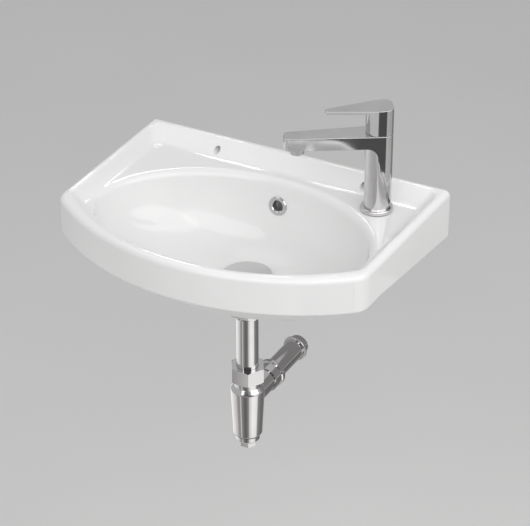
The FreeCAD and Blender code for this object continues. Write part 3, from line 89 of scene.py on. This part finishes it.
# Scale of the chrome's wiping marks along the height, which draws them out upwards, and their depth.
WIPE_STRETCH = 0.08
WIPE_DEPTH = 0.0000006


def towards(side, rise):
    """The direction towards a side, from the front towards the right, that rises over the level."""
    level = math.cos(rise)
    return Vector((math.sin(side) * level, -math.cos(side) * level, math.sin(rise)))


def middle(node):
    """The middle of a node's box."""
    low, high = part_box(node)
    return (low + high) / 2


def add_object(name, data, centre):
    """A new object at a point of the scene."""
    made = bpy.data.objects.new(name, data)
    bpy.context.scene.collection.objects.link(made)
    made.location = centre
    return made


def face(made, target, front):
    """Turn an object so that its front axis points at a target."""
    made.rotation_euler = (Vector(target) - made.location).to_track_quat(front, "Y").to_euler()


class Finish:
    """A node material with short calls for the nodes that its surface is made of."""

    def __init__(self, name, **constants):
        self.material = bpy.data.materials.new(name)
        self.material.use_nodes = True
        self.tree = self.material.node_tree
        self.shader = self.tree.nodes["Principled BSDF"]
        for key, value in constants.items():
            self.shader.inputs[key.replace("_", " ")].default_value = value
        self.place = self.node("ShaderNodeTexCoord").outputs["Object"]

    def node(self, kind, settings=None, **inputs):
        """A new node with its settings, and its inputs set or linked."""
        made = self.tree.nodes.new(kind)
        for key, value in (settings or {}).items():
            setattr(made, key, value)
        for key, value in inputs.items():
            self.join(value, made.inputs[key.replace("_", " ")])
        return made

    def join(self, value, socket):
        """Link a socket to another node's output, or set its value."""
        if isinstance(value, bpy.types.NodeSocket):
            self.tree.links.new(value, socket)
        else:
            socket.default_value = value

    def mapped(self, **inputs):
        """The surface's place after a move or a stretch."""
        return self.node("ShaderNodeMapping", Vector=self.place, **inputs).outputs["Vector"]

    def speckle(self, scale, detail=2.0, place=None):
        """A noise between 0 and 1 that rides with the piece; scale counts its waves in a metre."""
        vector = self.place if place is None else place
        return self.node("ShaderNodeTexNoise", Vector=vector, Scale=scale, Detail=detail).outputs["Fac"]

    def spread(self, factor, low, high, start=0.3, end=0.7):
        """A factor's stretch from start to end, spread between two values."""
        return self.node("ShaderNodeMapRange", Value=factor, From_Min=start, From_Max=end, To_Min=low,
                         To_Max=high).outputs["Result"]

    def vary(self, scale, low, high, detail=2.0):
        """A value that goes between two values from place to place."""
        return self.spread(self.speckle(scale, detail), low, high)

    def calculate(self, operation, first, second):
        """The result of a Math node."""
        made = self.node("ShaderNodeMath", {"operation": operation})
        self.join(first, made.inputs[0])
        self.join(second, made.inputs[1])
        return made.outputs["Value"]

    def mix(self, factor, low, high):
        """A colour between two colours."""
        made = self.node("ShaderNodeMix", {"data_type": "RGBA"})
        self.join(factor, made.inputs["Factor"])
        first, second = [socket for socket in made.inputs if socket.type == "RGBA"]
        for socket, colour in ((first, low), (second, high)):
            self.join(colour if isinstance(colour, bpy.types.NodeSocket) else (*colour, 1.0), socket)
        return next(socket for socket in made.outputs if socket.type == "RGBA")

    def tint(self, scale, low, high, detail=2.0):
        """A colour that goes between two colours from place to place."""
        return self.mix(self.vary(scale, 0.0, 1.0, detail), low, high)

    def axis(self, name):
        """One coordinate of the row frame."""
        return self.node("ShaderNodeSeparateXYZ", Vector=self.place).outputs[name]

    def facing(self, name):
        """One coordinate of the way that the surface faces."""
        normal = self.node("ShaderNodeTexCoord").outputs["Normal"]
        return self.node("ShaderNodeSeparateXYZ", Vector=normal).outputs[name]

    def let_through(self):
        """Add what lies behind the surface to what the surface itself gives."""
        behind = self.node("ShaderNodeBsdfTransparent").outputs["BSDF"]
        both = self.node("ShaderNodeAddShader")
        self.join(self.shader.outputs["BSDF"], both.inputs[0])
        self.join(behind, both.inputs[1])
        self.join(both.outputs["Shader"], self.tree.nodes["Material Output"].inputs["Surface"])

    def wear(self, colour, roughness, *bumps):
        """Link the colour and roughness, and stack bumps of pairs of a height and its depth in metres."""
        self.join(colour, self.shader.inputs["Base Color"])
        self.join(roughness, self.shader.inputs["Roughness"])
        normal = None
        for height, depth in bumps:
            bump = self.node("ShaderNodeBump", Height=height, Strength=1.0, Distance=depth)
            if normal:
                self.join(normal, bump.inputs["Normal"])
            normal = bump.outputs["Normal"]
        self.join(normal, self.shader.inputs["Normal"])
        return self.material


def glazed_ceramic():
    """White glaze with a faint waviness and few pinholes, thin and dull underneath. The face on the wall is
    bare bisque."""
    finish = Finish("glazed_ceramic", IOR=1.52)
    glaze = finish.tint(7.0, (0.795, 0.79, 0.785), (0.83, 0.826, 0.822))
    bisque = finish.mix(finish.speckle(900.0), (0.62, 0.58, 0.52), (0.74, 0.71, 0.66))
    bare = finish.spread(finish.axis("Y"), 0.0, 1.0, start=-BISQUE_DEPTH, end=-BISQUE_DEPTH / 2)
    gloss = finish.vary(35.0, 0.05, 0.10, detail=4.0)
    dull = finish.spread(finish.facing("Z"), UNDERSIDE_ROUGHNESS, 0.0, start=-0.5, end=-0.2)
    glazed_roughness = finish.calculate("MAXIMUM", gloss, dull)
    bare_roughness = finish.calculate("MULTIPLY", bare, BISQUE_ROUGHNESS)
    roughness = finish.calculate("MAXIMUM", glazed_roughness, bare_roughness)
    waviness = (finish.speckle(80.0), 0.00003)
    pinholes = (finish.speckle(600.0, detail=4.0), 0.000004)
    return finish.wear(finish.mix(bare, glaze, bisque), roughness, waviness, pinholes)


def bright_chrome():
    """Plated chrome with faint wiping marks and a slight waviness of the polished casting."""
    finish = Finish("bright_chrome", Metallic=1.0)
    colour = finish.tint(25.0, (0.62, 0.61, 0.612), (0.68, 0.672, 0.674))
    marks = finish.speckle(900.0, detail=3.0, place=finish.mapped(Scale=(1.0, 1.0, WIPE_STRETCH)))
    smears = finish.vary(55.0, 0.03, 0.09, detail=4.0)
    roughness = finish.calculate("ADD", smears, finish.spread(marks, 0.0, 0.03))
    waviness = (finish.speckle(45.0), 0.000006)
    return finish.wear(colour, roughness, waviness, (marks, WIPE_DEPTH))


def satin_cap():
    """Satin metal with the fine rings that a lathe tool leaves about the waste's axis."""
    finish = Finish("satin_cap", Metallic=1.0)
    centre = middle("waste_cap")
    level = finish.mapped(Location=(-centre.x, -centre.y, 0.0), Scale=(1.0, 1.0, 0.0))
    reach = finish.node("ShaderNodeVectorMath", {"operation": "LENGTH"}, Vector=level).outputs["Value"]
    turns = finish.calculate("MULTIPLY", reach, math.tau / TURNING_PITCH)
    rings = finish.calculate("SINE", finish.calculate("ADD", turns, finish.speckle(120.0)), 0.0)
    colour = finish.mix(finish.spread(rings, 0.0, 1.0, start=-1.0, end=1.0),
                        (0.65, 0.648, 0.65), (0.69, 0.688, 0.69))
    roughness = finish.vary(60.0, 0.34, 0.40)
    return finish.wear(colour, roughness, (rings, TURNING_DEPTH))


def plain_finish(name, dark, light, rough, grain, depth, **constants):
    """A plain metal, rubber or plastic whose colour, gloss and grain vary from place to place."""
    finish = Finish(name, **constants)
    colour = finish.tint(70.0, dark, light, detail=3.0)
    roughness = finish.vary(180.0, *rough, detail=4.0)
    return finish.wear(colour, roughness, (finish.speckle(grain, detail=3.0), depth))


FINISHES = {
    "glazed_ceramic": glazed_ceramic(),
    "bright_chrome": bright_chrome(),
    "satin_cap": satin_cap(),
    "plain_brass": plain_finish("plain_brass", dark=(0.55, 0.37, 0.15), light=(0.70, 0.50, 0.24),
                                rough=(0.22, 0.40), grain=400.0, depth=0.00001, Metallic=1.0),
    "plain_steel": plain_finish("plain_steel", dark=(0.46, 0.46, 0.47), light=(0.56, 0.56, 0.56),
                                rough=(0.25, 0.42), grain=600.0, depth=0.00001, Metallic=1.0),
    "black_rubber": plain_finish("black_rubber", dark=(0.016, 0.016, 0.017), light=(0.034, 0.034, 0.035),
                                 rough=(0.52, 0.75), grain=900.0, depth=0.00003),
    "valve_ceramic": plain_finish("valve_ceramic", dark=(0.76, 0.75, 0.70), light=(0.84, 0.83, 0.79),
                                  rough=(0.10, 0.20), grain=900.0, depth=0.000005),
    "white_plastic": plain_finish("white_plastic", dark=(0.72, 0.72, 0.71), light=(0.80, 0.80, 0.79),
                                  rough=(0.30, 0.44), grain=700.0, depth=0.00001),
}


def dress_nodes():
    """Give every node the finish of its material slot."""
    for row in frame["record"]["subparts"]:
        mesh = frame["nodes"][row["node"]].data
        mesh.materials.clear()
        mesh.materials.append(FINISHES[row["material_slot"]])


def panel(name, centre, target, width, height):
    """A flat staged panel that faces a point."""
    mesh = bpy.data.meshes.new(name)
    x, y = width / 2, height / 2
    mesh.from_pydata([(-x, -y, 0), (x, -y, 0), (x, y, 0), (-x, y, 0)], [], [(0, 1, 2, 3)])
    made = add_object(name, mesh, centre)
    face(made, target, "Z")
    return made


def show_to_gloss(made, finish, glow):
    """Let a staged card glow, seen by shiny surfaces alone."""
    finish.shader.inputs["Base Color"].default_value = (0.0, 0.0, 0.0, 1.0)
    finish.shader.inputs["Specular IOR Level"].default_value = 0.0
    finish.shader.inputs["Emission Color"].default_value = CARD_COLOUR
    finish.join(glow, finish.shader.inputs["Emission Strength"])
    made.data.materials.append(finish.material)
    made.visible_camera = False
    made.visible_diffuse = False
    made.visible_shadow = False


def card(name, centre, target, width, height, glow, edge_glow, receivers=None):
    """A staged card that only shiny surfaces see, with the glow of its middle and of its upright edges. Where
    it has receivers, only they see its glow, and the rest looks through it."""
    made = panel(name, centre, target, width, height)
    finish = Finish(name, Roughness=1.0)
    across = finish.calculate("ABSOLUTE", finish.axis("X"), 0.0)
    show_to_gloss(made, finish, finish.spread(across, glow, edge_glow, start=width / 4, end=width / 2))
    if receivers:
        finish.let_through()
        made.light_linking.receiver_collection = receivers


def ring(name, centre):
    """A staged upright ring that only shiny surfaces see. Its glow goes smoothly through the ring's glows."""
    turns = [math.tau * index / RING_CORNERS for index in range(RING_CORNERS)]
    level = [(math.sin(turn) * RING_RADIUS, -math.cos(turn) * RING_RADIUS) for turn in turns]
    corners = [(x, y, z) for z in (-RING_HEIGHT / 2, RING_HEIGHT / 2) for x, y in level]
    pairs = [(index, (index + 1) % RING_CORNERS) for index in range(RING_CORNERS)]
    mesh = bpy.data.meshes.new(name)
    mesh.from_pydata(corners, [], [(a, b, RING_CORNERS + b, RING_CORNERS + a) for a, b in pairs])
    made = add_object(name, mesh, centre)
    finish = Finish(name, Roughness=1.0)
    forward = finish.calculate("MULTIPLY", finish.axis("Y"), -1.0)
    side = finish.calculate("ARCTAN2", finish.axis("X"), forward)
    turned = finish.spread(side, 0.0, 1.0, start=-math.pi, end=math.pi)
    ramp = finish.node("ShaderNodeValToRGB", Fac=turned)
    ramp.color_ramp.interpolation = "EASE"
    stops = ramp.color_ramp.elements
    for index, (degrees, glow) in enumerate(RING_GLOWS):
        stop = stops[index] if index < 2 else stops.new(1.0)
        stop.position = degrees / 360 + 0.5
        stop.color = (glow, glow, glow, 1.0)
    show_to_gloss(made, finish, ramp.outputs["Color"])


def glint(name, side, receivers):
    """A bright card where an edge that turns towards a side throws it at the camera."""
    camera = towards(CAMERA_AZIMUTH, CAMERA_ELEVATION)
    normal = towards(math.radians(side), math.pi / 2 - GLINT_TILT)
    centre = (2 * normal.dot(camera) * normal - camera) * GLINT_DISTANCE
    card(name, centre, target=(0, 0, 0), width=GLINT_WIDTH, height=GLINT_HEIGHT, glow=GLINT_GLOW,
         edge_glow=GLINT_EDGE_GLOW, receivers=receivers)


def soft_light(name, centre, width, height, watts):
    """A lamp that shines from an oval on the bowl."""
    lamp = bpy.data.lights.new(name, "AREA")
    lamp.shape = "ELLIPSE"
    lamp.size = width
    lamp.size_y = height
    lamp.energy = watts
    face(add_object(name, lamp, centre), LAMP_AIM, "-Z")


def build_floor():
    """Pale floor under the basin."""
    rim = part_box("basin")[1].z
    floor = panel("floor", (0, 0, rim - RIM_ABOVE_FLOOR), (0, 0, rim), FLOOR_SIZE, FLOOR_SIZE)
    finish = Finish("pale_floor")
    worn = [channel * FLOOR_WEAR for channel in FLOOR_COLOUR]
    colour = finish.tint(1.5, worn, FLOOR_COLOUR)
    finish.wear(colour, FLOOR_ROUGHNESS, (finish.speckle(40.0), FLOOR_GRAIN_DEPTH))
    floor.data.materials.append(finish.material)


def build_cards():
    """Ring and cards that the chrome and the glaze reflect."""
    ring("trap_ring", middle("trap_body") - Vector((0, 0, RING_DROP)))
    card("back_flag", centre=(0, 0.30, BACK_FLAG_LEVEL), target=(0, 0, BACK_FLAG_LEVEL), width=1.2,
         height=0.36, glow=0.26, edge_glow=0.34)
    card("trap_flag", centre=(0.10, -0.36, -0.165), target=(0, -0.165, -0.32), width=0.42, height=0.18,
         glow=0.10, edge_glow=0.30)
    tap = middle("tap_base_ring")
    card("tap_flag", centre=(0.78, -0.86, TAP_FLAG_LEVEL), target=(tap.x, tap.y, TAP_FLAG_LEVEL), width=0.55,
         height=0.55, glow=0.10, edge_glow=0.20)
    glazed = bpy.data.collections.new("glazed_nodes")
    glazed.objects.link(frame["nodes"]["basin"])
    for name, side in GLINT_SIDES.items():
        glint(name, side, glazed)


def build_lights():
    """Soft lamps and a plain world."""
    soft_light("right_softbox", centre=(1.35, -0.45, 1.05), width=2.2, height=1.6, watts=13.5)
    soft_light("left_softbox", centre=(-0.75, -0.10, 1.5), width=1.6, height=1.0, watts=2.5)
    soft_light("front_softbox", centre=(0.6, -2.5, 1.6), width=3.4, height=2.2, watts=26)
    world = bpy.data.worlds.new("studio")
    bpy.context.scene.world = world
    world.use_nodes = True
    background = world.node_tree.nodes["Background"]
    background.inputs["Color"].default_value = WORLD_COLOUR
    background.inputs["Strength"].default_value = WORLD_STRENGTH


def build_camera():
    """A camera at the photograph's viewing angle."""
    data = bpy.data.cameras.new("photo_camera")
    data.sensor_width = CAMERA_SENSOR
    data.sensor_fit = "HORIZONTAL"
    data.lens = CAMERA_FOCAL_WIDTHS * CAMERA_SENSOR
    data.clip_end = FLOOR_SIZE
    offset = towards(CAMERA_AZIMUTH, CAMERA_ELEVATION) * CAMERA_DISTANCE
    camera = add_object("photo_camera", data, CAMERA_AIM + offset)
    face(camera, CAMERA_AIM, "-Z")
    bpy.context.scene.camera = camera


dress_nodes()
build_floor()
build_cards()
build_lights()
build_camera()
bpy.context.scene.view_settings.view_transform = "Standard"
